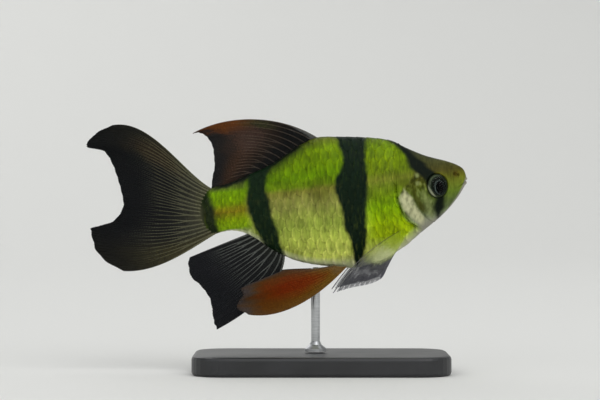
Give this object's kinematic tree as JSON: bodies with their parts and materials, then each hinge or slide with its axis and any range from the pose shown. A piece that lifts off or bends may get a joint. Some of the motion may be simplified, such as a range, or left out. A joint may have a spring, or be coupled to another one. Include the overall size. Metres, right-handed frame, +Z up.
{
  "type": "tiger barb fish model on a display stand",
  "caption": "Life-size still model of a deep-bodied barred barb with long rayed fins, held over a flat base by a short rod.",
  "frame": {"origin": "on the floor, under the middle of the model's box", "axes": "+X towards the fish's snout, +Y to the fish's left, +Z up; the fish's head is pitched up by 7 degrees"},
  "size_m": [0.0686, 0.026, 0.0455],
  "materials": {
    "skin": "wet scaled skin, satin",
    "smoky_fin": "thin smoky membrane, satin",
    "orange_fin": "thin orange membrane, satin",
    "clear_fin": "thin colourless membrane, satin",
    "eye": "gloss",
    "stand_paint": "satin",
    "stand_steel": "brushed"
  },
  "bodies": {
    "root": {"head": "skin", "torso": "skin", "tail_stalk": "skin", "caudal_fin": "smoky_fin", "dorsal_fin": "smoky_fin", "anal_fin": "smoky_fin", "pelvic_fin_right": "orange_fin", "pelvic_fin_left": "orange_fin", "pectoral_fin_right": "clear_fin", "pectoral_fin_left": "clear_fin", "eye_right": "eye", "eye_left": "eye", "stand_base": "stand_paint", "stand_rod": "stand_steel"}
  },
  "joints": []
}
